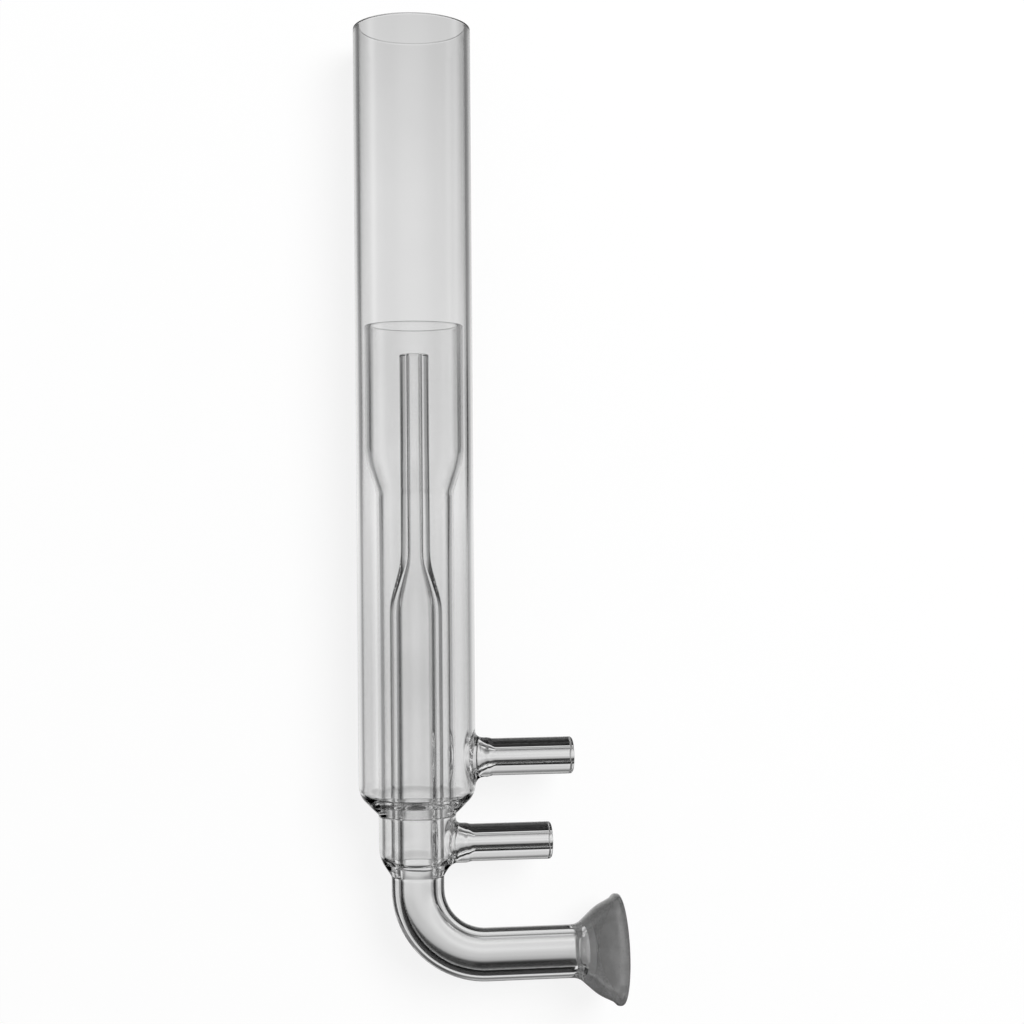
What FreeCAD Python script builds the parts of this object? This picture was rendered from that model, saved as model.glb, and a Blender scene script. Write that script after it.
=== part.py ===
import FreeCAD, Part
import math
import os
from FreeCAD import Vector

# One-piece plasma torch of fused quartz, in millimetres, lying at rest.
# The torch axis is Y with the mouth at y = 0 and facing +Y, the gas arms and
# the elbow's leg point to +X, and +Z is up. Depths are measured from the mouth.

# Outer tube, which holds the plasma
outer_tube_diameter = 20.0
outer_tube_wall = 1.0
outer_tube_length = 130.7       # mouth to the corner of its shoulder
outer_shoulder_angle = 45.0     # degrees from the torch axis
outer_shoulder_bend = 4.0
outer_weld_radius = 1.0         # where the shoulder is melted to the stem

# Intermediate tube: a wide tulip at its rim, then a neck and a narrower stem
tulip_rim_depth = 50.8
tulip_diameter = 16.8
tulip_length = 22.8             # rim to the neck's upper corner
neck_length = 5.6
neck_upper_bend = 12.0
neck_lower_bend = 3.0
stem_diameter = 13.2
intermediate_wall = 1.0
chamber_length = 7.3            # outer weld to the corner of the lower shoulder
lower_shoulder_angle = 33.0     # degrees from the torch axis
lower_shoulder_bend = 6.0
lower_weld_radius = 1.2

# Injector: a capillary tip that widens into the sample tube
injector_setback = 4.9          # from the tulip's rim down to the tip
capillary_diameter = 5.0
capillary_bore = 2.0
capillary_length = 35.3         # tip to the upper corner of the taper
taper_length = 7.2
taper_bend = 14.0
sample_tube_diameter = 9.0
sample_tube_bore = 5.3

# Elbow and the leg that carries the socket cup
tube_below_weld = 2.2           # straight tube between the lower weld and the elbow
elbow_radius = 11.8             # of the bend's centre line
leg_length = 15.7               # end of the bend to the corner of the cup's neck

# Ground socket cup, for a ball joint
ball_diameter = 19.05
rim_setback = 4.4               # rim's face short of the ball's centre
seat_end_diameter = 7.8         # inner end of the ground seat
cup_floor = 3.3                 # neck's corner to the inner end of the seat
cup_waist_distance = 3.4        # neck's corner to where the flare eases off
cup_waist_rise = 3.65           # outside there, above the seat's inner end
cup_waist_bend = 8.0
cup_neck_bend = 2.8
bead_wall = 1.05                # seat to the outside of the bead at the rim
bead_width = 1.6
bead_step = 0.7                 # how far the bead stands above the cup's flare
throat_length = 2.1             # clear funnel between the bore and the seat

# Gas arms
arm_diameter = 6.35
arm_bore = 2.2
arm_root_swelling = 0.2         # on the arm's radius, where the weld thickens it
arm_root_taper = 0.8            # from the swelling down to the plain arm
plasma_arm_offset = 6.0         # above the corner of the outer shoulder
plasma_arm_reach = 26.8         # torch axis to the arm's end
plasma_root_length = 2.1        # of the swelling, outside the tube
plasma_root_fillet = 1.5        # of the weld where it meets the tube
plasma_hole_diameter = 4.7
plasma_funnel_length = 3.0
auxiliary_arm_offset = 5.2      # below the outer weld
auxiliary_arm_reach = 23.0
auxiliary_root_length = 1.7
auxiliary_root_fillet = 1.0
auxiliary_hole_diameter = 4.2
auxiliary_funnel_length = 2.9

# Bevels
rim_bevel = 0.25
tip_bevel = 0.2
arm_end_bevel = 0.45
arm_bore_bevel = 0.25
cup_rim_bevel = 0.4

# Limits
longest_share = 0.48            # of a side that the rounding of one corner may take
crevice_share = 0.35            # of a gas space's width, where it ends at its weld
root_fillet_share = 0.72        # of the tube between the auxiliary arm and the outer weld
edge_tolerance = 0.02           # when looking for the edges of an arm's root
edge_samples = 7

torch_axis = Vector(0, 1, 0)


def tangent_angle(angle):
    """Tangent of an angle given in degrees."""
    return math.tan(math.radians(angle))


# Radii
outer_radius = outer_tube_diameter / 2
outer_inside = outer_radius - outer_tube_wall
tulip_radius = tulip_diameter / 2
tulip_inside = tulip_radius - intermediate_wall
stem_radius = stem_diameter / 2
stem_inside = stem_radius - intermediate_wall
sample_radius = sample_tube_diameter / 2
bore_radius = sample_tube_bore / 2
capillary_radius = capillary_diameter / 2
capillary_inside = capillary_bore / 2
arm_radius = arm_diameter / 2
root_radius = arm_radius + arm_root_swelling

# Depths of the section's corners below the mouth
shoulder_depth = outer_tube_length
weld_depth = shoulder_depth + (outer_radius - stem_radius) / tangent_angle(outer_shoulder_angle)
chamber_depth = weld_depth + chamber_length
lower_weld_depth = chamber_depth + (stem_radius - sample_radius) / tangent_angle(lower_shoulder_angle)
elbow_depth = lower_weld_depth + tube_below_weld
leg_depth = elbow_depth + elbow_radius
neck_top_depth = tulip_rim_depth + tulip_length
neck_end_depth = neck_top_depth + neck_length
tip_depth = tulip_rim_depth + injector_setback
taper_depth = tip_depth + capillary_length
taper_end_depth = taper_depth + taper_length
plasma_arm_depth = shoulder_depth - plasma_arm_offset
auxiliary_arm_depth = weld_depth + auxiliary_arm_offset

# The walls are as thick along each shoulder and neck as they are beside it
neck_angle = math.degrees(math.atan2(tulip_radius - stem_radius, neck_length))
shoulder_inset = outer_tube_wall * tangent_angle(outer_shoulder_angle / 2)
chamber_inset = intermediate_wall * tangent_angle(lower_shoulder_angle / 2)
neck_inset = intermediate_wall * tangent_angle(neck_angle / 2)
inner_shoulder_depth = shoulder_depth - shoulder_inset
inner_chamber_depth = chamber_depth - chamber_inset
outer_crevice_radius = stem_radius + crevice_share * (outer_inside - stem_radius)
outer_crevice_depth = (
    inner_shoulder_depth + (outer_inside - outer_crevice_radius) / tangent_angle(outer_shoulder_angle)
)
lower_crevice_radius = sample_radius + crevice_share * (stem_inside - sample_radius)
lower_crevice_depth = (
    inner_chamber_depth + (stem_inside - lower_crevice_radius) / tangent_angle(lower_shoulder_angle)
)


def rounded_path(corners, closed):
    """Edges through the corners, each rounded by its radius as far as its sides allow."""
    count = len(corners)
    starts = []
    ends = []
    middles = []
    for index, (corner, radius) in enumerate(corners):
        is_end = not closed and index in (0, count - 1)
        if is_end or radius == 0:
            starts.append(corner)
            ends.append(corner)
            middles.append(None)
            continue
        back = corners[index - 1][0] - corner
        ahead = corners[(index + 1) % count][0] - corner
        longest_reach = longest_share * min(back.Length, ahead.Length)
        back.normalize()
        ahead.normalize()
        half_angle = back.getAngle(ahead) / 2
        reach = min(radius / math.tan(half_angle), longest_reach)
        radius = reach * math.tan(half_angle)
        bisector = (back + ahead).normalize()
        starts.append(corner + back * reach)
        ends.append(corner + ahead * reach)
        middles.append(corner + bisector * (radius / math.sin(half_angle) - radius))
    edges = []
    for index in range(count):
        if middles[index] is not None:
            edges.append(Part.Arc(starts[index], middles[index], ends[index]).toShape())
        following = (index + 1) % count
        if following == 0 and not closed:
            break
        if ends[index].distanceToPoint(starts[following]) > 1e-6:
            edges.append(Part.LineSegment(ends[index], starts[following]).toShape())
    return edges


def turned(edges, origin, axis):
    """Solid of revolution of a closed section."""
    section = Part.Face(Part.Wire(Part.__sortEdges__(edges)))
    return section.revolve(origin, axis, 360)


def blown_body():
    """The three nested tubes and both shoulders, as one turned section."""
    def at(depth, radius):
        return Vector(-radius, -depth, 0)

    corners = [
        # Outside of the torch, from the mouth down to the elbow
        (at(0, outer_radius - rim_bevel), 0),
        (at(rim_bevel, outer_radius), 0),
        (at(shoulder_depth, outer_radius), outer_shoulder_bend),
        (at(weld_depth, stem_radius), outer_weld_radius),
        (at(chamber_depth, stem_radius), lower_shoulder_bend),
        (at(lower_weld_depth, sample_radius), lower_weld_radius),
        (at(elbow_depth, sample_radius), 0),
        # Sample bore, from the elbow up to the injector's tip
        (at(elbow_depth, bore_radius), 0),
        (at(taper_end_depth, bore_radius), taper_bend),
        (at(taper_depth, capillary_inside), taper_bend),
        (at(tip_depth + tip_bevel, capillary_inside), 0),
        (at(tip_depth, capillary_inside + tip_bevel), 0),
        (at(tip_depth, capillary_radius - tip_bevel), 0),
        (at(tip_depth + tip_bevel, capillary_radius), 0),
        (at(taper_depth, capillary_radius), taper_bend),
        (at(taper_end_depth, sample_radius), taper_bend),
        # Auxiliary gas space, up inside the stem and the tulip
        (at(lower_crevice_depth, sample_radius), 0),
        (at(lower_crevice_depth, lower_crevice_radius), 0),
        (at(inner_chamber_depth, stem_inside), 0),
        (at(neck_end_depth - neck_inset, stem_inside), neck_lower_bend + intermediate_wall),
        (at(neck_top_depth - neck_inset, tulip_inside), neck_upper_bend - intermediate_wall),
        (at(tulip_rim_depth + rim_bevel, tulip_inside), 0),
        (at(tulip_rim_depth, tulip_inside + rim_bevel), 0),
        (at(tulip_rim_depth, tulip_radius - rim_bevel), 0),
        (at(tulip_rim_depth + rim_bevel, tulip_radius), 0),
        (at(neck_top_depth, tulip_radius), neck_upper_bend),
        (at(neck_end_depth, stem_radius), neck_lower_bend),
        # Plasma gas space, from the outer weld up to the mouth
        (at(outer_crevice_depth, stem_radius), 0),
        (at(outer_crevice_depth, outer_crevice_radius), 0),
        (at(inner_shoulder_depth, outer_inside), 0),
        (at(rim_bevel, outer_inside), 0),
        (at(0, outer_inside + rim_bevel), 0),
    ]
    return turned(rounded_path(corners, True), Vector(0, 0, 0), torch_axis)


def elbow():
    """Quarter bend from the sample tube to the leg."""
    start = Vector(0, -elbow_depth, 0)
    pivot = Vector(elbow_radius, -elbow_depth, 0)
    outside = Part.Face(Part.Wire(Part.makeCircle(sample_radius, start, torch_axis)))
    inside = Part.Face(Part.Wire(Part.makeCircle(bore_radius, start, torch_axis)))
    ring = outside.cut(inside).Faces[0]
    return ring.revolve(pivot, Vector(0, 0, 1), 90)


def leg_and_cup():
    """Leg with the socket cup on its end, turned about the leg's axis."""
    leg_start = elbow_radius
    neck = leg_start + leg_length
    waist = neck + cup_waist_distance
    ball_radius = ball_diameter / 2
    seat_end_radius = seat_end_diameter / 2
    seat_end = neck + cup_floor
    ball_centre = seat_end + math.sqrt(ball_radius ** 2 - seat_end_radius ** 2)
    rim = ball_centre - rim_setback
    mouth_radius = math.sqrt(ball_radius ** 2 - rim_setback ** 2)
    waist_radius = seat_end_radius + cup_waist_rise
    bead_radius = mouth_radius + bead_wall
    bead_start = rim - bead_width
    seat_middle_angle = (
        math.asin(mouth_radius / ball_radius) + math.asin(seat_end_radius / ball_radius)
    ) / 2

    def at(distance, radius):
        return Vector(distance, -leg_depth + radius, 0)

    outside = rounded_path([
        (at(leg_start, sample_radius), 0),
        (at(neck, sample_radius), cup_neck_bend),
        (at(waist, waist_radius), cup_waist_bend),
        (at(bead_start, bead_radius - bead_step), 0),
        (at(bead_start + bead_step, bead_radius), 0),
        (at(rim - cup_rim_bevel, bead_radius), 0),
        (at(rim, bead_radius - cup_rim_bevel), 0),
        (at(rim, mouth_radius), 0),
    ], False)
    seat = Part.Arc(
        at(rim, mouth_radius),
        at(
            ball_centre - ball_radius * math.cos(seat_middle_angle),
            ball_radius * math.sin(seat_middle_angle),
        ),
        at(seat_end, seat_end_radius),
    ).toShape()
    inside = rounded_path([
        (at(seat_end, seat_end_radius), 0),
        (at(seat_end - throat_length, bore_radius), 0),
        (at(leg_start, bore_radius), 0),
        (at(leg_start, sample_radius), 0),
    ], False)
    return turned(outside + [seat] + inside, Vector(0, -leg_depth, 0), Vector(1, 0, 0))


def arm_outside(depth, reach, root_end, wall_core):
    """Arm with no bore, from the middle of the tube's wall out to its bevelled end."""
    def at(distance, radius):
        return Vector(distance, -depth, radius)

    blank = turned(rounded_path([
        (at(0, 0), 0),
        (at(0, root_radius), 0),
        (at(root_end, root_radius), 0),
        (at(root_end + arm_root_taper, arm_radius), 0),
        (at(reach - arm_end_bevel, arm_radius), 0),
        (at(reach, arm_radius - arm_end_bevel), 0),
        (at(reach, 0), 0),
    ], True), Vector(0, -depth, 0), Vector(1, 0, 0))
    return blank.cut(wall_core)


def root_edges(glass, depth, tube_radius):
    """Edges where the outside of an arm meets the outside of its tube."""
    def is_on_root(point):
        miss = abs(math.hypot(point.y + depth, point.z) - root_radius)
        return miss < edge_tolerance and 0 < point.x < tube_radius + edge_tolerance

    return [
        edge for edge in glass.Edges
        if all(is_on_root(point) for point in edge.discretize(edge_samples))
    ]


def arm_passage(depth, reach, hole_diameter, funnel_length, tube_radius, inner_radius):
    """Bore of an arm, with its funnel and the hole through the tube's wall."""
    def at(distance, radius):
        return Vector(distance, -depth, -radius)

    passage = turned(rounded_path([
        (at(0, 0), 0),
        (at(0, hole_diameter / 2), 0),
        (at(tube_radius, hole_diameter / 2), 0),
        (at(tube_radius + funnel_length, arm_bore / 2), 0),
        (at(reach - arm_bore_bevel, arm_bore / 2), 0),
        (at(reach, arm_bore / 2 + arm_bore_bevel), 0),
        (at(reach, 0), 0),
    ], True), Vector(0, -depth, 0), Vector(1, 0, 0))
    spared_tube = Part.makeCylinder(
        inner_radius, 2 * hole_diameter, Vector(0, -depth - hole_diameter, 0), torch_axis
    )
    return passage.cut(spared_tube)


def shoulder_core(top_depth, tube_radius, wall, corner_depth, end_depth, angle):
    """Everything inside the middle of a tube's wall, down to the weld of its shoulder."""
    middle_radius = tube_radius - wall / 2
    middle_corner = corner_depth - wall / 2 * tangent_angle(angle / 2)
    end_radius = middle_radius - (end_depth - middle_corner) * tangent_angle(angle)
    return turned(rounded_path([
        (Vector(0, -top_depth, 0), 0),
        (Vector(-middle_radius, -top_depth, 0), 0),
        (Vector(-middle_radius, -middle_corner, 0), 0),
        (Vector(-end_radius, -end_depth, 0), 0),
        (Vector(0, -end_depth, 0), 0),
    ], True), Vector(0, 0, 0), torch_axis)


def between(inner_radius, outer_inside_radius):
    """Radius a quarter of the way across the gap outside an inner tube."""
    return inner_radius + (outer_inside_radius - inner_radius) / 4


def torch():
    """The whole torch as one solid."""
    plasma_core = shoulder_core(
        plasma_arm_depth - 2 * root_radius, outer_radius, outer_tube_wall,
        shoulder_depth, weld_depth, outer_shoulder_angle,
    )
    auxiliary_core = shoulder_core(
        auxiliary_arm_depth - 2 * root_radius, stem_radius, intermediate_wall,
        chamber_depth, lower_weld_depth, lower_shoulder_angle,
    )
    plasma_arm = arm_outside(
        plasma_arm_depth, plasma_arm_reach, outer_radius + plasma_root_length, plasma_core
    )
    auxiliary_arm = arm_outside(
        auxiliary_arm_depth, auxiliary_arm_reach, stem_radius + auxiliary_root_length, auxiliary_core
    )
    plasma_passage = arm_passage(
        plasma_arm_depth, plasma_arm_reach, plasma_hole_diameter, plasma_funnel_length,
        outer_radius, between(stem_radius, outer_inside),
    )
    auxiliary_passage = arm_passage(
        auxiliary_arm_depth, auxiliary_arm_reach, auxiliary_hole_diameter, auxiliary_funnel_length,
        stem_radius, between(sample_radius, stem_inside),
    )
    tube_above_arm = (
        auxiliary_arm_offset - root_radius - outer_weld_radius * tangent_angle(outer_shoulder_angle / 2)
    )
    auxiliary_fillet = min(auxiliary_root_fillet, root_fillet_share * tube_above_arm)
    glass = blown_body().fuse([plasma_arm, auxiliary_arm]).removeSplitter()
    glass = glass.makeFillet(plasma_root_fillet, root_edges(glass, plasma_arm_depth, outer_radius))
    glass = glass.makeFillet(auxiliary_fillet, root_edges(glass, auxiliary_arm_depth, stem_radius))
    glass = glass.cut([plasma_passage, auxiliary_passage])
    return glass.fuse([elbow(), leg_and_cup()]).removeSplitter()


os.makedirs("parts", exist_ok=True)
quartz_torch = torch()
quartz_torch.exportStep("parts/quartz_torch.step")
box = quartz_torch.optimalBoundingBox()
print("solids", len(quartz_torch.Solids), "valid", quartz_torch.isValid(), "volume", round(quartz_torch.Volume, 1))
print("size", round(box.XLength, 2), round(box.YLength, 2), round(box.ZLength, 2))
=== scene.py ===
import math

import bmesh
import bpy
from mathutils import Matrix, Vector


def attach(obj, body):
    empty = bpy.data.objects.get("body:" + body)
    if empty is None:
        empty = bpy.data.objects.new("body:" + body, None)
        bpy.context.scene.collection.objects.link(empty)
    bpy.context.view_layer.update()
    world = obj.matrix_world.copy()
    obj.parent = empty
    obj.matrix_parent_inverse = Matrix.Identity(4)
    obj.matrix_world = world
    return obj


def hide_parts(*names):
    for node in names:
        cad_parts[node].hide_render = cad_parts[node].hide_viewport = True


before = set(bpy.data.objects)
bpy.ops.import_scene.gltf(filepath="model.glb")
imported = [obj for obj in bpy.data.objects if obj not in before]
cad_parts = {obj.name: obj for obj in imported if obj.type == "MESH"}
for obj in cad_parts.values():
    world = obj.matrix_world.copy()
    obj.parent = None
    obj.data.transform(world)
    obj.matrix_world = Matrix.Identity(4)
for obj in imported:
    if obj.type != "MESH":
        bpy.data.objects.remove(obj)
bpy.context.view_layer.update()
scene = bpy.context.scene
print("frame loaded:", ", ".join(sorted(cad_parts)))

mm = 0.001                                  # metres
tiny = 1e-6                                 # millimetres


class Wire:                                 # a socket that Python operators can work on
    def __init__(self, tree, socket=None):
        self.tree = tree
        self.socket = socket

    def node(self, kind, settings=None, sockets=None, output=0):
        made = self.tree.nodes.new(kind)
        for name, value in (settings or {}).items():
            if name == "stops":
                ramp = made.color_ramp
                while len(ramp.elements) < len(value):
                    ramp.elements.new(0.5)
                for element, (position, grey) in zip(ramp.elements, value):
                    element.position = position
                    element.color = (grey, grey, grey, 1)
            else:
                setattr(made, name, value)
        for name, value in (sockets or {}).items():
            if isinstance(value, Wire):
                self.tree.links.new(value.socket, made.inputs[name])
            else:
                made.inputs[name].default_value = value
        return Wire(self.tree, made.outputs[output] if made.outputs else None)

    def maths(self, operation, *values):
        return self.node("ShaderNodeMath", {"operation": operation}, dict(enumerate(values)))

    def __abs__(self):
        return self.maths("ABSOLUTE", self)

    def __gt__(self, other):
        return self.maths("GREATER_THAN", self, other)

    def __add__(self, other):
        return self.maths("ADD", self, other)

    def __radd__(self, other):
        return self.maths("ADD", other, self)

    def __sub__(self, other):
        return self.maths("SUBTRACT", self, other)

    def __rsub__(self, other):
        return self.maths("SUBTRACT", other, self)

    def __mul__(self, other):
        return self.maths("MULTIPLY", self, other)

    def __rmul__(self, other):
        return self.maths("MULTIPLY", other, self)

    def most(self, other):                  # the larger of the two
        return self.maths("MAXIMUM", self, other)

    def angleFrom(self, other):             # the angle whose tangent is self over other
        return self.maths("ARCTAN2", self, other)

    def smooth(self, low, high, before=0.0, after=1.0):     # eases from before to after
        return self.node("ShaderNodeMapRange", {"interpolation_type": "SMOOTHSTEP"}, {
            "Value": self, "From Min": low, "From Max": high, "To Min": before, "To Max": after,
        })

    def splitXyz(self):
        parts = self.node("ShaderNodeSeparateXYZ", None, {"Vector": self})
        return [Wire(self.tree, out) for out in parts.socket.node.outputs]

    def tint(self, first, second):          # this mask mixes two colours
        settings = {"data_type": "RGBA"}
        return self.node("ShaderNodeMix", settings, {0: self, 6: first, 7: second}, output=2)


def newMaterial(name):
    material = bpy.data.materials.new(name)
    material.use_nodes = True
    material.node_tree.nodes.clear()
    return material, Wire(material.node_tree)


# Outline of the glass, in millimetres; depths are from the mouth
torch = {
    "mouthDepth": 0.01, "outerRadius": 9.985, "outerWall": 0.985, "outerLength": 130.7,
    "shoulderAngle": 45.0, "shoulderBend": 4.0, "weldRadius": 1.0,
    "tulipDepth": 50.8, "tulipRadius": 8.4, "tulipLength": 22.8,
    "neckLength": 5.6, "neckUpperBend": 12.0, "neckLowerBend": 3.0,
    "stemRadius": 6.6, "innerWall": 1.0, "chamberLength": 7.3,
    "lowerAngle": 33.0, "lowerBend": 6.0, "lowerWeldRadius": 1.2,
    "tipSetback": 4.9, "capillaryRadius": 2.5, "capillaryBore": 1.0,
    "capillaryLength": 35.3, "taperLength": 7.2, "taperBend": 14.0,
    "sampleRadius": 4.5, "sampleBore": 2.65,
    "belowWeld": 2.2, "elbowRadius": 11.8, "legLength": 15.7,
    "creviceShare": 0.35, "outerCreviceRound": 0.3, "lowerCreviceRound": 0.2,
    "outerJoinShare": 0.5, "lowerJoinShare": 0.85, "rimRound": 0.3, "tipRound": 0.25,
}
cup = {
    "ballRadius": 9.525, "rimSetback": 4.4, "seatEnd": 3.9, "floor": 3.3,
    "waistDistance": 3.4, "waistRise": 3.65, "waistBend": 9.0, "neckBend": 2.8,
    "beadWall": 1.03, "beadWidth": 1.6, "beadStep": 0.7, "rimInset": 0.01,
    "beadFootBend": 0.8, "beadBackBend": 0.5, "beadRound": 0.42,
    "throatLength": 2.1, "throatBend": 1.5, "frostOver": 1.1,
}
mesh = {
    "ringPoints": 128, "arcStep": 5.0, "fewestArcSteps": 3, "longestShare": 0.48,
    "supportGap": 0.22, "supportShare": 0.3, "supportRoom": 2.2,
    "ringMargin": 0.05, "seatSteps": 18, "elbowSteps": 24, "sharpAngle": 32,
}


def tangent(degrees):
    return math.tan(math.radians(degrees))


def between(share, first, second):          # share of the first and the rest of the second
    return share * first + (1 - share) * second


def outline(corners):                       # (depth, radius, rounding) to a list of points
    points = []
    last = len(corners) - 1
    for index, (x, y, rounding) in enumerate(corners):
        here = Vector((x, y))
        if rounding == 0 or index in (0, last):
            points.append((x, y))
            continue
        back = Vector(corners[index - 1][:2]) - here
        ahead = Vector(corners[index + 1][:2]) - here
        longest = mesh["longestShare"] * min(back.length, ahead.length)
        backWay, aheadWay = back.normalized(), ahead.normalized()
        half = backWay.angle(aheadWay) / 2
        reach = min(rounding / math.tan(half), longest)
        radius = reach * math.tan(half)
        centre = here + (backWay + aheadWay).normalized() * (radius / math.sin(half))
        turn = math.pi - 2 * half
        steps = max(mesh["fewestArcSteps"], math.ceil(math.degrees(turn) / mesh["arcStep"]))
        start = here + backWay * reach - centre
        side = 1 if start.x * (here - centre).y - start.y * (here - centre).x > 0 else -1
        gap = min(mesh["supportGap"], mesh["supportShare"] * radius)
        if back.length - reach > mesh["supportRoom"] * gap:
            points.append(tuple(here + backWay * (reach + gap)))
        for step in range(steps + 1):
            angle = side * turn * step / steps
            points.append((
                centre.x + start.x * math.cos(angle) - start.y * math.sin(angle),
                centre.y + start.x * math.sin(angle) + start.y * math.cos(angle),
            ))
        if ahead.length - reach > mesh["supportRoom"] * gap:
            points.append(tuple(here + aheadWay * (reach + gap)))
    return points


def radiusAt(points, depth):                # radius of an outline at a depth
    for (d0, r0), (d1, r1) in zip(points, points[1:]):
        if min(d0, d1) <= depth <= max(d0, d1) and abs(d1 - d0) > tiny:
            return r0 + (r1 - r0) * (depth - d0) / (d1 - d0)
    raise ValueError(depth)


def evenRings(points, top, bottom, count):  # even steps between two depths
    steps = [top + (bottom - top) * k / count for k in range(count + 1)]
    fresh = [(depth, radiusAt(points, depth)) for depth in steps]
    above = [p for p in points if p[0] < top - mesh["ringMargin"]]
    below = [p for p in points if p[0] > bottom + mesh["ringMargin"]]
    if points[0][0] < points[-1][0]:
        return above + fresh + below
    return below + fresh[::-1] + above


# Depths and radii that follow from the values above
t, c = torch, cup
shoulderDepth = t["outerLength"]
weldDepth = shoulderDepth + (t["outerRadius"] - t["stemRadius"]) / tangent(t["shoulderAngle"])
chamberDepth = weldDepth + t["chamberLength"]
lowerWeldDepth = chamberDepth + (t["stemRadius"] - t["sampleRadius"]) / tangent(t["lowerAngle"])
elbowDepth = lowerWeldDepth + t["belowWeld"]
legDepth = elbowDepth + t["elbowRadius"]
neckTop = t["tulipDepth"] + t["tulipLength"]
neckEnd = neckTop + t["neckLength"]
tipDepth = t["tulipDepth"] + t["tipSetback"]
taperTop = tipDepth + t["capillaryLength"]
taperEnd = taperTop + t["taperLength"]
outerInside = t["outerRadius"] - t["outerWall"]
stemInside = t["stemRadius"] - t["innerWall"]
tulipInside = t["tulipRadius"] - t["innerWall"]
neckAngle = math.degrees(math.atan2(t["tulipRadius"] - t["stemRadius"], t["neckLength"]))
neckInset = t["innerWall"] * tangent(neckAngle / 2)
innerShoulder = shoulderDepth - t["outerWall"] * tangent(t["shoulderAngle"] / 2)
innerChamber = chamberDepth - t["innerWall"] * tangent(t["lowerAngle"] / 2)
outerCrevice = t["stemRadius"] + t["creviceShare"] * (outerInside - t["stemRadius"])
outerCreviceDepth = innerShoulder + (outerInside - outerCrevice) / tangent(t["shoulderAngle"])
lowerCrevice = t["sampleRadius"] + t["creviceShare"] * (stemInside - t["sampleRadius"])
lowerCreviceDepth = innerChamber + (stemInside - lowerCrevice) / tangent(t["lowerAngle"])
outerJoin = (
    between(t["outerJoinShare"], outerCreviceDepth, innerShoulder),
    between(t["outerJoinShare"], outerCrevice, outerInside), 0,
)
lowerJoin = (
    between(t["lowerJoinShare"], lowerCreviceDepth, innerChamber),
    between(t["lowerJoinShare"], lowerCrevice, stemInside), 0,
)
rimMiddle = (t["mouthDepth"], (t["outerRadius"] + outerInside) / 2, 0)

skinOutside = outline([
    rimMiddle,
    (t["mouthDepth"], t["outerRadius"], t["rimRound"]),
    (shoulderDepth, t["outerRadius"], t["shoulderBend"]),
    (weldDepth, t["stemRadius"], t["weldRadius"]),
    (chamberDepth, t["stemRadius"], t["lowerBend"]),
    (lowerWeldDepth, t["sampleRadius"], t["lowerWeldRadius"]),
    (elbowDepth, t["sampleRadius"], 0),
])
boreInside = outline([
    (elbowDepth, t["sampleBore"], 0),
    (taperEnd, t["sampleBore"], t["taperBend"]),
    (taperTop, t["capillaryBore"], t["taperBend"]),
    (tipDepth, t["capillaryBore"], t["tipRound"]),
    (tipDepth, t["capillaryRadius"], t["tipRound"]),
    (taperTop, t["capillaryRadius"], t["taperBend"]),
    (taperEnd, t["sampleRadius"], t["taperBend"]),
    (lowerCreviceDepth, t["sampleRadius"], t["lowerCreviceRound"]),
    (lowerCreviceDepth, lowerCrevice, t["lowerCreviceRound"]),
    lowerJoin,
])
stemUp = outline([
    lowerJoin,
    (innerChamber, stemInside, t["lowerBend"] - t["innerWall"]),
    (neckEnd - neckInset, stemInside, t["neckLowerBend"] + t["innerWall"]),
    (neckTop - neckInset, tulipInside, t["neckUpperBend"] - t["innerWall"]),
    (t["tulipDepth"], tulipInside, t["rimRound"]),
    (t["tulipDepth"], t["tulipRadius"], t["rimRound"]),
    (neckTop, t["tulipRadius"], t["neckUpperBend"]),
    (neckEnd, t["stemRadius"], t["neckLowerBend"]),
    (outerCreviceDepth, t["stemRadius"], t["outerCreviceRound"]),
    (outerCreviceDepth, outerCrevice, t["outerCreviceRound"]),
    outerJoin,
])
skinInside = outline([
    outerJoin,
    (innerShoulder, outerInside, t["shoulderBend"] - t["outerWall"]),
    (t["mouthDepth"], outerInside, t["rimRound"]),
    rimMiddle,
])

# The leg and its cup, as distances from the torch's axis
legStart = t["elbowRadius"]
cupNeck = legStart + t["legLength"]
cupWaist = cupNeck + c["waistDistance"]
seatStart = cupNeck + c["floor"]
ballCentre = seatStart + math.sqrt(c["ballRadius"] ** 2 - c["seatEnd"] ** 2)
cupRim = ballCentre - c["rimSetback"] - c["rimInset"]
mouthRadius = math.sqrt(c["ballRadius"] ** 2 - c["rimSetback"] ** 2)
waistRadius = c["seatEnd"] + c["waistRise"]
beadRadius = mouthRadius + c["beadWall"]
beadStart = cupRim - c["beadWidth"]
legOutside = outline([
    (legStart, t["sampleRadius"], 0),
    (cupNeck, t["sampleRadius"], c["neckBend"]),
    (cupWaist, waistRadius, c["waistBend"]),
    (beadStart, beadRadius - c["beadStep"], c["beadFootBend"]),
    (beadStart + c["beadStep"], beadRadius, c["beadBackBend"]),
    (cupRim, beadRadius, c["beadRound"]),
    (cupRim, mouthRadius, 0),
])
firstAngle = math.asin(mouthRadius / c["ballRadius"])
lastAngle = math.asin(c["seatEnd"] / c["ballRadius"])
seat = []                                   # part of the ball's sphere, from the rim inwards
for step in range(mesh["seatSteps"] + 1):
    angle = firstAngle + (lastAngle - firstAngle) * step / mesh["seatSteps"]
    seat.append((
        ballCentre - c["ballRadius"] * math.cos(angle), c["ballRadius"] * math.sin(angle),
    ))
throatStart = seatStart - c["throatLength"]
frostEnd = seatStart - c["frostOver"]
frostRadius = between(c["frostOver"] / c["throatLength"], t["sampleBore"], c["seatEnd"])
legInside = outline([
    (seatStart, c["seatEnd"], 0),
    (frostEnd, frostRadius, 0),
    (throatStart, t["sampleBore"], c["throatBend"]),
    (legStart, t["sampleBore"], 0),
])

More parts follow.
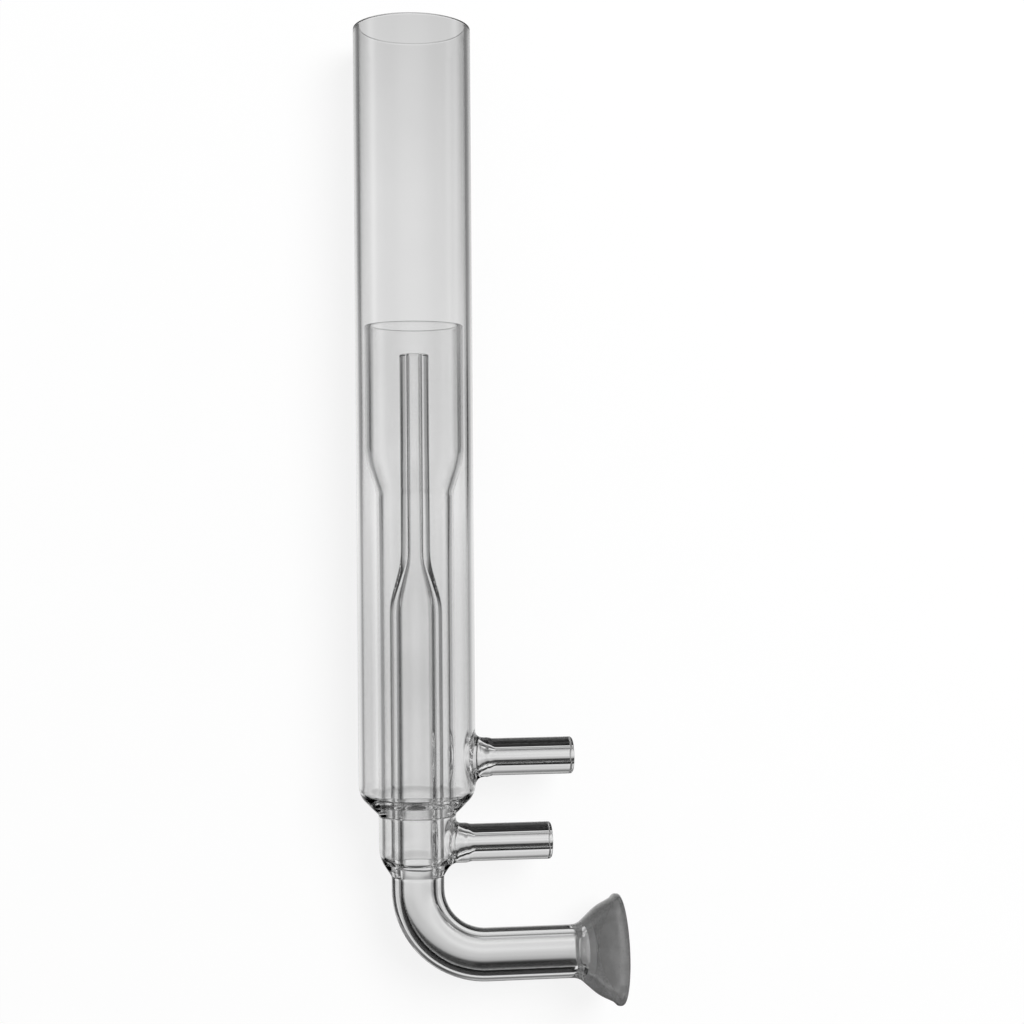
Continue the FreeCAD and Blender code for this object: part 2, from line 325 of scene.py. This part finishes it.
# Gas arms; a region is the depths between which an arm opens a skin
arms = {
    "plasma": {
        "depth": shoulderDepth - 6.0, "reach": 26.8, "tubeRadius": t["outerRadius"],
        "rootLength": 2.1, "rootFillet": 1.5, "holeRadius": 2.35, "funnelLength": 3.0,
        "outerRegion": (119.0, 130.2), "innerRegion": (121.3, 128.1), "rings": 24, "columns": 24,
    },
    "auxiliary": {
        "depth": weldDepth + 5.2, "reach": 23.0, "tubeRadius": t["stemRadius"],
        "rootLength": 1.7, "rootFillet": 1.0, "holeRadius": 2.1, "funnelLength": 2.9,
        "outerRegion": (134.62, 144.2), "innerRegion": (136.4, 141.95), "rings": 16, "columns": 32,
    },
}
armShape = {
    "radius": 3.175, "bore": 1.1, "rootSwelling": 0.2, "rootTaper": 0.8, "rootLead": 0.3,
    "rootBend": 1.5, "endRound": 0.5, "boreRound": 0.25, "funnelBend": 3.0, "holeBend": 1.5,
    "holeDepth": 0.55, "holeEdge": 0.3, "slopeStep": 0.02,
    "skinRows": 5, "filletRows": 8, "edgeRows": 4, "innerRows": 5,
}

for arm in arms.values():
    skinOutside = evenRings(skinOutside, *arm["outerRegion"], arm["rings"])
plasmaArm, auxiliaryArm = arms["plasma"], arms["auxiliary"]
skinInside = evenRings(skinInside, *plasmaArm["innerRegion"], plasmaArm["rings"])

alongX, alongY, alongZ = Vector((1, 0, 0)), Vector((0, 1, 0)), Vector((0, 0, 1))
rings = []                                  # (centre, way to the first point, radius, skin, depth)


def addTorchRings(points, name):
    for depth, radius in points:
        rings.append((Vector((0, -depth, 0)), alongX, radius, name, depth))


def addElbowRings(radius, backwards):
    steps = mesh["elbowSteps"]
    bend = t["elbowRadius"]
    for step in range(1, steps):
        angle = math.radians(90 * (steps - step if backwards else step) / steps)
        centre = Vector((bend * (1 - math.cos(angle)), -elbowDepth - bend * math.sin(angle), 0))
        rings.append((centre, Vector((math.cos(angle), math.sin(angle), 0)), radius, "elbow", None))


def addLegRings(points, name):
    for distance, radius in points:
        rings.append((Vector((distance, -legDepth, 0)), alongY, radius, name, None))


# The stem's inner skin rises past the lower arm's hole, so it has even rings there too
stemSplit = next(i for i, p in enumerate(stemUp) if p[0] < auxiliaryArm["innerRegion"][0])
stemLow = evenRings(
    stemUp[:stemSplit + 1], *auxiliaryArm["innerRegion"], auxiliaryArm["rings"],
)

addTorchRings(skinOutside, "skinOutside")
addElbowRings(t["sampleRadius"], False)
addLegRings(legOutside, "leg")
addLegRings(seat[1:-1], "seat")
addLegRings([p for p in legInside if p[0] > frostEnd + tiny], "seat")
addLegRings([p for p in legInside if p[0] <= frostEnd + tiny], "leg")
addElbowRings(t["sampleBore"], True)
addTorchRings(boreInside[:-1], "bore")
addTorchRings(stemLow, "stemInside")
addTorchRings(stemUp[stemSplit + 1:-1], "tulip")
addTorchRings(skinInside[:-1], "skinInside")

ringPoints = mesh["ringPoints"]
vertices = []
for centre, first, radius, *rest in rings:
    for k in range(ringPoints):
        angle = 2 * math.pi * k / ringPoints
        vertices.append(centre + radius * (math.cos(angle) * first + math.sin(angle) * alongZ))


def vertexAt(ring, column):
    return (ring % len(rings)) * ringPoints + column % ringPoints


removed = set()                             # (ring, column) cells that an arm opens
faces = []
groundFaces = set()                         # faces of the seat, by their place in the list


def joinLoops(first, second):
    for k in range(len(first)):
        after = (k + 1) % len(first)
        faces.append((first[k], first[after], second[after], second[k]))


def regionRings(name, region):              # ring numbers of an even region, top first
    top, bottom = region
    found = [
        i for i, r in enumerate(rings)
        if r[3] == name and top - tiny <= r[4] <= bottom + tiny
    ]
    return sorted(found, key=lambda i: rings[i][4])


def openRegion(name, region, columns):      # opens a skin and returns the edge of the opening
    found = regionRings(name, region)
    half = columns // 2
    for a, b in zip(found, found[1:]):
        for column in range(-half, half):
            removed.add((min(a, b), column % ringPoints))
    edge = [vertexAt(found[0], k) for k in range(-half, half)]
    edge += [vertexAt(i, half) for i in found[:-1]]
    edge += [vertexAt(found[-1], k) for k in range(half, -half, -1)]
    edge += [vertexAt(i, -half) for i in reversed(found[1:])]
    return edge


def addArm(arm, innerName, innerPoints):    # joins the opened skins by an arm with its bore
    shape = armShape
    rootRadius = shape["radius"] + shape["rootSwelling"]
    outerEdge = openRegion("skinOutside", arm["outerRegion"], arm["columns"])
    innerEdge = openRegion(innerName, arm["innerRegion"], arm["columns"])
    count = len(outerEdge)

    def local(vertex):                      # place of a vertex as the arm's end shows it
        return Vector((-vertices[vertex].y - arm["depth"], vertices[vertex].z))

    def way(spoke):
        return Vector((math.cos(spoke), math.sin(spoke)))

    fullTurn = 2 * math.pi                  # even spokes, turned to suit the opening's corners
    turns = []
    for k, vertex in enumerate(outerEdge):
        spot = local(vertex)
        turns.append((math.atan2(spot.y, spot.x) + fullTurn * k / count) % fullTurn)
    base = turns[0]
    offset = sum((x - base + math.pi) % fullTurn - math.pi for x in turns) / count + base
    spokes = [offset - fullTurn * k / count for k in range(count)]

    def onSkin(points, p, q):
        return math.sqrt(radiusAt(points, arm["depth"] + p) ** 2 - q * q)

    def place(x, p, q):
        return Vector((x, -arm["depth"] - p, q))

    def weld(points, rho, size, spoke, share):      # smooth corner between a skin and the arm
        far, near = way(spoke) * (rho + size), way(spoke) * (rho + size - shape["slopeStep"])
        x0, x1 = onSkin(points, *far), onSkin(points, *near)
        corner = x0 + (x1 - x0) / shape["slopeStep"] * size
        a, b, d = (1 - share) ** 2, 2 * share * (1 - share), share ** 2
        x = a * x0 + b * corner + d * (corner + size)
        return place(x, *way(spoke) * (a * (rho + size) + (b + d) * rho))

    def skinLoop(points, starts, ends, share):      # loop on a skin, between two others
        return [
            place(onSkin(points, *spot), *spot)
            for spot in (start.lerp(end, share) for start, end in zip(starts, ends))
        ]

    loops = []
    edge = [local(vertex) for vertex in outerEdge]
    filletEdge = [way(spoke) * (rootRadius + arm["rootFillet"]) for spoke in spokes]
    for row in range(1, shape["skinRows"] + 1):
        loops.append(skinLoop(skinOutside, edge, filletEdge, row / shape["skinRows"]))
    for row in range(1, shape["filletRows"] + 1):
        share = row / shape["filletRows"]
        loops.append([
            weld(skinOutside, rootRadius, arm["rootFillet"], spoke, share) for spoke in spokes
        ])
    rootEnd = arm["tubeRadius"] + arm["rootLength"]
    path = outline([
        (rootEnd - shape["rootLead"], rootRadius, 0),
        (rootEnd, rootRadius, shape["rootBend"]),
        (rootEnd + shape["rootTaper"], shape["radius"], shape["rootBend"]),
        (arm["reach"], shape["radius"], shape["endRound"]),
        (arm["reach"], shape["bore"], shape["boreRound"]),
        (arm["tubeRadius"] + arm["funnelLength"], shape["bore"], shape["funnelBend"]),
        (arm["tubeRadius"], arm["holeRadius"], shape["holeBend"]),
        (arm["tubeRadius"] - shape["holeDepth"], arm["holeRadius"], 0),
    ])
    for x, rho in path:
        loops.append([place(x, *way(spoke) * rho) for spoke in spokes])
    for row in range(shape["edgeRows"] + 1):
        share = 1 - row / shape["edgeRows"]
        loops.append([
            weld(innerPoints, arm["holeRadius"], shape["holeEdge"], spoke, share)
            for spoke in spokes
        ])
    edge = [local(vertex) for vertex in innerEdge]
    holeEdge = [way(spoke) * (arm["holeRadius"] + shape["holeEdge"]) for spoke in spokes]
    for row in range(1, shape["innerRows"]):
        loops.append(skinLoop(innerPoints, holeEdge, edge, row / shape["innerRows"]))

    previous = outerEdge
    for loop in loops:
        following = list(range(len(vertices), len(vertices) + count))
        vertices.extend(loop)
        joinLoops(previous, following)
        previous = following
    joinLoops(previous, innerEdge)


addArm(plasmaArm, "skinInside", skinInside)
addArm(auxiliaryArm, "stemInside", stemLow)
for ring in range(len(rings)):
    following = (ring + 1) % len(rings)
    isSeat = "seat" in (rings[ring][3], rings[following][3])
    for column in range(ringPoints):
        if (ring, column) in removed:
            continue
        if isSeat:
            groundFaces.add(len(faces))
        faces.append((
            vertexAt(ring, column), vertexAt(ring, column + 1),
            vertexAt(following, column + 1), vertexAt(following, column),
        ))

glassMesh = bpy.data.meshes.new("fusedQuartzTorch")
glassMesh.from_pydata([v * mm for v in vertices], [], faces)
glassMesh.validate()
glassMesh.update()
print("glass mesh:", len(glassMesh.vertices), "vertices,", len(glassMesh.polygons), "faces")
glass = bpy.data.objects.new("fusedQuartzTorch", glassMesh)
scene.collection.objects.link(glass)
glassWork = bmesh.new()
glassWork.from_mesh(glassMesh)
bmesh.ops.recalc_face_normals(glassWork, faces=glassWork.faces)
openEdges = sum(1 for edge in glassWork.edges if len(edge.link_faces) != 2)
glassWork.to_mesh(glassMesh)
glassWork.free()
print("open edges:", openEdges)
glassMesh.shade_smooth()
glassMesh.set_sharp_from_angle(angle=math.radians(mesh["sharpAngle"]))

# Fused quartz: clear, fire-polished, with faint draw lines along the tubes
quartz = {
    "ior": 1.458, "paleTint": (1.0, 1.0, 1.0, 1), "greyTint": (0.985, 0.985, 0.985, 1),
    "tintScale": 60, "tintDetail": 2.0, "tintEdge": (0.35, 0.65),
    "wipeScale": 140, "wipeDetail": 3.0, "wipeGrit": 0.6, "wipeEdge": (0.55, 0.8),
    "wipeRoughness": 0.012, "drawStretch": (900, 30, 900), "drawDetail": 1.0,
    "drawStrength": 0.03, "drawDepth": 0.00004,
}
clearQuartz, wire = newMaterial("clearFusedQuartz")
place = wire.node("ShaderNodeTexCoord", output=3)
tintNoise = wire.node("ShaderNodeTexNoise", None, {
    "Vector": place, "Scale": quartz["tintScale"], "Detail": quartz["tintDetail"],
})
wipeNoise = wire.node("ShaderNodeTexNoise", None, {
    "Vector": place, "Scale": quartz["wipeScale"], "Detail": quartz["wipeDetail"],
    "Roughness": quartz["wipeGrit"],
})
stretched = wire.node("ShaderNodeMapping", None, {"Vector": place, "Scale": quartz["drawStretch"]})
drawNoise = wire.node("ShaderNodeTexNoise", None, {
    "Vector": stretched, "Scale": 1.0, "Detail": quartz["drawDetail"],
})
drawLines = wire.node("ShaderNodeBump", None, {
    "Strength": quartz["drawStrength"], "Distance": quartz["drawDepth"], "Height": drawNoise,
})
quartzTint = tintNoise.smooth(*quartz["tintEdge"]).tint(quartz["paleTint"], quartz["greyTint"])
shader = wire.node("ShaderNodeBsdfPrincipled", None, {
    "Base Color": quartzTint,
    "Roughness": wipeNoise.smooth(*quartz["wipeEdge"], 0.0, quartz["wipeRoughness"]),
    "IOR": quartz["ior"], "Transmission Weight": 1.0, "Normal": drawLines,
})
wire.node("ShaderNodeOutputMaterial", None, {"Surface": shader})

# Ground seat: the same glass, frosted by grinding; its low greys are painted shade that stands for
# the dark surroundings the frost scatters
ground = {
    "darkFrostAndShade": (0.41, 0.41, 0.41, 1), "paleFrostAndShade": (0.52, 0.52, 0.52, 1),
    "patchScale": 420, "patchDetail": 3.0, "tintEdge": (0.35, 0.65),
    "roughness": (0.5, 0.68), "roughnessEdge": (0.3, 0.7),
    "grainScale": 2600, "grainDetail": 2.0, "grainStrength": 0.35, "grainDepth": 0.00003,
    "chalk": (0.32, 0.52), "chalkEdge": (0.3, 0.7),
}
groundQuartz, wire = newMaterial("groundFusedQuartz")
place = wire.node("ShaderNodeTexCoord", output=3)
grain = wire.node("ShaderNodeTexNoise", None, {
    "Vector": place, "Scale": ground["grainScale"], "Detail": ground["grainDetail"],
})
patches = wire.node("ShaderNodeTexNoise", None, {
    "Vector": place, "Scale": ground["patchScale"], "Detail": ground["patchDetail"],
})
# random patches of paler and darker frost, both greys set dark as painted shade
frostAndShadeTint = patches.smooth(*ground["tintEdge"]).tint(ground["darkFrostAndShade"], ground["paleFrostAndShade"])
grainBump = wire.node("ShaderNodeBump", None, {
    "Strength": ground["grainStrength"], "Distance": ground["grainDepth"], "Height": grain,
})
frosted = wire.node("ShaderNodeBsdfPrincipled", None, {
    "Base Color": frostAndShadeTint,
    "Roughness": patches.smooth(*ground["roughnessEdge"], *ground["roughness"]),
    "IOR": quartz["ior"], "Transmission Weight": 1.0, "Normal": grainBump,
})
chalky = wire.node("ShaderNodeBsdfDiffuse", None, {"Color": frostAndShadeTint, "Normal": grainBump})
mixed = wire.node("ShaderNodeMixShader", None, {
    0: grain.smooth(*ground["chalkEdge"], *ground["chalk"]), 1: frosted, 2: chalky,
})
wire.node("ShaderNodeOutputMaterial", None, {"Surface": mixed})

glassMesh.materials.append(clearQuartz)
glassMesh.materials.append(groundQuartz)
for index in groundFaces:
    glassMesh.polygons[index].material_index = 1
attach(glass, "root")
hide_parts("quartz_torch")
print("materials on the glass:", [m.name for m in glassMesh.materials])

# Floor: plain white paper under the torch
paper = {
    "height": -0.01002, "half": 1.5,
    "white": (0.985, 0.985, 0.985, 1), "shade": (0.97, 0.97, 0.97, 1),
    "fibreScale": 90.0, "fibreDetail": 4.0, "fibreEdge": (0.3, 0.7), "whiteness": 0.85,
}
floorMesh = bpy.data.meshes.new("paperFloor")
h, z = paper["half"], paper["height"]
floorMesh.from_pydata([(-h, -h, z), (h, -h, z), (h, h, z), (-h, h, z)], [], [(0, 1, 2, 3)])
floor = bpy.data.objects.new("paperFloor", floorMesh)
scene.collection.objects.link(floor)
paperWhite, wire = newMaterial("paperWhite")
place = wire.node("ShaderNodeTexCoord", output=3)
fibre = wire.node("ShaderNodeTexNoise", None, {
    "Vector": place, "Scale": paper["fibreScale"], "Detail": paper["fibreDetail"],
})
sheet = wire.node("ShaderNodeBsdfDiffuse", None, {
    "Color": fibre.smooth(*paper["fibreEdge"]).tint(paper["white"], paper["shade"]),
})
whiteness = wire.node("ShaderNodeEmission", None, {"Color": (1, 1, 1, 1), "Strength": 1.0})
path = wire.node("ShaderNodeLightPath")
toEye = Wire(wire.tree, path.socket.node.outputs["Is Camera Ray"])
blend = wire.node("ShaderNodeMixShader", None, {
    0: toEye * paper["whiteness"], 1: sheet, 2: whiteness,
})
wire.node("ShaderNodeOutputMaterial", None, {"Surface": blend})
floorMesh.materials.append(paperWhite)
floor.visible_transmission = False          # the glass sees the studio's boards instead
floor.visible_glossy = False
print("floor ready")

# Studio: a white room to the eye. The glass sees a dim room above and light flanks below, with
# shaded boards in front of them: a disc straight down, and one each for arms, tubes and elbow
studio = {                                  # Edge: a direction's side part, End: its drop
    "roomLight": 0.35, "flankLight": 0.85, "horizon": (-0.02, 0.02), "leastDrop": 0.0001,
    "discEdge": (0.42, 0.58), "armBoardEdge": (0.2, 0.34), "armBoardEnd": (0.05, 0.11),
    "tubeBoardEdge": (0.3, 0.42), "tubeBoardEnd": (0.1, 0.3),
    "elbowBoardEdge": (-0.9, -0.6), "elbowBoardEnd": (0.08, 0.2),
    "widening": (-0.06, 0.06, 0.78, 1.0), "mouthEdge": (0.09, 0.18),    # along angles, radians
    "alongTorch": [                         # angles off straight down, in degrees, and their greys
        (-90, 0.25), (-84, 0.05), (-80, 0.01), (-70, 0.006), (-27, 0.004), (-24.5, 0.04),
        (-21, 0.42), (-17, 0.56), (-15, 0.58), (-12.5, 0.69), (-10.5, 0.79), (-6, 0.73),
        (-3, 0.76), (0, 0.83), (4, 0.79), (10.5, 0.78), (16, 0.67), (20, 0.67), (24, 0.66),
        (28, 0.46), (32, 0.27), (37, 0.2), (42, 0.42), (47, 0.66), (52, 0.66), (58, 0.45),
        (65, 0.2), (75, 0.12), (90, 0.2),
    ],
    "acrossTorch": [
        (-90, 0.55), (-80, 0.3), (-72, 0.35), (-66, 0.55), (-61, 0.5), (-57, 0.2), (-54, 0.02),
        (-43.5, 0.02), (-41, 0.1), (-38, 0.36), (-28, 0.39), (-25, 0.5), (-22, 0.8), (-18, 1.08),
        (-12, 1.08), (-6, 1.03), (6, 1), (14, 1), (19, 1.08), (23, 0.9), (26, 0.65), (29, 0.57),
        (38, 0.5), (41, 0.1), (43.5, 0.02), (54, 0.02), (57, 0.2), (61, 0.5), (66, 0.55),
        (72, 0.35), (80, 0.3), (90, 0.55),
    ],
    "acrossMouth": [                        # the same, for the part beyond the tulip
        (-90, 0.3), (-80, 0.25), (-72, 0.28), (-65, 0.34), (-58, 0.36), (-52, 0.34), (-47, 0.3),
        (-42, 0.27), (-37, 0.25), (-32, 0.26), (-29, 0.3), (-26, 0.36), (-23, 0.5), (-20, 0.68),
        (-16, 0.9), (-12, 1), (-6, 1.05), (0, 1), (12, 0.93), (16, 0.93), (20, 0.86), (24, 0.7),
        (28, 0.5), (32, 0.36), (37, 0.28), (42, 0.28), (52, 0.34), (65, 0.3), (80, 0.25), (90, 0.3),
    ],
    "above": [                              # a direction's height and its grey
        (0.0, 0.75), (0.15, 0.3), (0.5, 0.12), (0.75, 0.12), (0.92, 0.35), (1.0, 0.4),
    ],
}


def angleRamp(angle, stops):                # a grey for each angle between -90 and 90 degrees
    scaled = [((degrees + 90) / 180, grey) for degrees, grey in stops]
    return angle.node("ShaderNodeValToRGB", {"stops": scaled}, {"Fac": angle * (1 / math.pi) + 0.5})


world = bpy.data.worlds.new("studioWorld")
scene.world = world
world.use_nodes = True
world.node_tree.nodes.clear()
wire = Wire(world.node_tree)
direction = wire.node("ShaderNodeTexCoord", output=0)
across, along, height = direction.splitXyz()
drop = (height * -1).most(studio["leastDrop"])
alongAngle, acrossAngle = along.angleFrom(drop), across.angleFrom(drop)
widened = acrossAngle * alongAngle.smooth(*studio["widening"])
acrossBand = alongAngle.smooth(*studio["mouthEdge"]).tint(
    angleRamp(widened, studio["acrossTorch"]), angleRamp(acrossAngle, studio["acrossMouth"]),
)
alongBand = angleRamp(alongAngle, studio["alongTorch"])
bothBands = wire.node("ShaderNodeMix", {"data_type": "RGBA", "blend_type": "MULTIPLY"}, {
    0: 1.0, 6: alongBand, 7: acrossBand,
}, output=2)
boards = drop.smooth(*studio["discEdge"])
for board, spread in (("arm", abs(across)), ("tube", abs(along)), ("elbow", across + along)):
    inside = spread.smooth(*studio[board + "BoardEdge"], 1.0, 0.0)
    boards = boards.most(inside * drop.smooth(*studio[board + "BoardEnd"]))
flank = (studio["flankLight"],) * 3 + (1,)
below = boards.tint(flank, bothBands)
above = wire.node("ShaderNodeValToRGB", {"stops": studio["above"]}, {"Fac": height})
bands = height.smooth(*studio["horizon"]).tint(below, above)
path = wire.node("ShaderNodeLightPath")
flags = {out.name: Wire(wire.tree, out) for out in path.socket.node.outputs}
roomLight = flags["Is Camera Ray"] * (1 - studio["roomLight"]) + studio["roomLight"]
plain = wire.node("ShaderNodeBackground", None, {"Color": (1, 1, 1, 1), "Strength": roomLight})
seenInGlass = wire.node("ShaderNodeBackground", None, {"Color": bands, "Strength": 1.0})
inGlass = flags["Is Glossy Ray"].most(flags["Is Transmission Ray"])
fromPaper = flags["Diffuse Depth"] > 0.5    # the paper is lit by the white room alone
both = wire.node("ShaderNodeMixShader", None, {
    0: inGlass * (1 - fromPaper), 1: plain, 2: seenInGlass,
})
wire.node("ShaderNodeOutputWorld", None, {"Surface": both})

softLamp = {                                # light is how bright it alone makes white paper
    "light": 0.65, "width": 0.7, "place": (0.42, 0.36, 0.95), "aim": (0, -0.08, 0),
}
lampData = bpy.data.lights.new("softOverhead", "AREA")
lampData.shape = "DISK"
lampData.size = softLamp["width"]
lampWay = Vector(softLamp["place"]) - Vector(softLamp["aim"])
lampSpread = lampWay.length ** 2 + (softLamp["width"] / 2) ** 2
lampData.energy = softLamp["light"] * math.pi ** 2 * lampSpread / lampWay.normalized().z
lamp = bpy.data.objects.new("softOverhead", lampData)
lampTurn = lampWay.to_track_quat("Z", "Y").to_matrix().to_4x4()
lamp.matrix_world = Matrix.Translation(softLamp["place"]) @ lampTurn
lamp.visible_camera = False
lamp.visible_glossy = False
lamp.visible_transmission = False
scene.collection.objects.link(lamp)
print("studio ready")

# Camera: nearly straight down, with the mouth at the top of the picture
view = {
    "lens": 59.48, "sensor": 36, "clipStart": 0.01, "place": (-0.01795, -0.08226, 0.2891),
    "lean": 6.83, "pitch": -0.08, "roll": 0.44,
}
lean, pitch, roll = (math.radians(view[name]) for name in ("lean", "pitch", "roll"))
right = Vector((math.cos(lean), 0, math.sin(lean)))
down = Vector((math.sin(lean), 0, -math.cos(lean)))
away = down * math.cos(pitch) + alongY * math.sin(pitch)
up = alongY * math.cos(pitch) - down * math.sin(pitch)
rightRolled = right * math.cos(roll) - up * math.sin(roll)
upRolled = up * math.cos(roll) + right * math.sin(roll)
cameraData = bpy.data.cameras.new("overheadCamera")
cameraData.lens = view["lens"]
cameraData.sensor_width = view["sensor"]
cameraData.clip_start = view["clipStart"]
camera = bpy.data.objects.new("overheadCamera", cameraData)
turn = Matrix((rightRolled, upRolled, -away)).transposed().to_4x4()
camera.matrix_world = Matrix.Translation(view["place"]) @ turn
scene.collection.objects.link(camera)
scene.camera = camera

scene.view_settings.view_transform = "Standard"
bounces = {                                 # enough to pass all the nested walls
    "max_bounces": 40, "transmission_bounces": 40, "glossy_bounces": 12,
    "transparent_max_bounces": 16,
}
for kind, count in bounces.items():
    setattr(scene.cycles, kind, count)
print("camera ready")
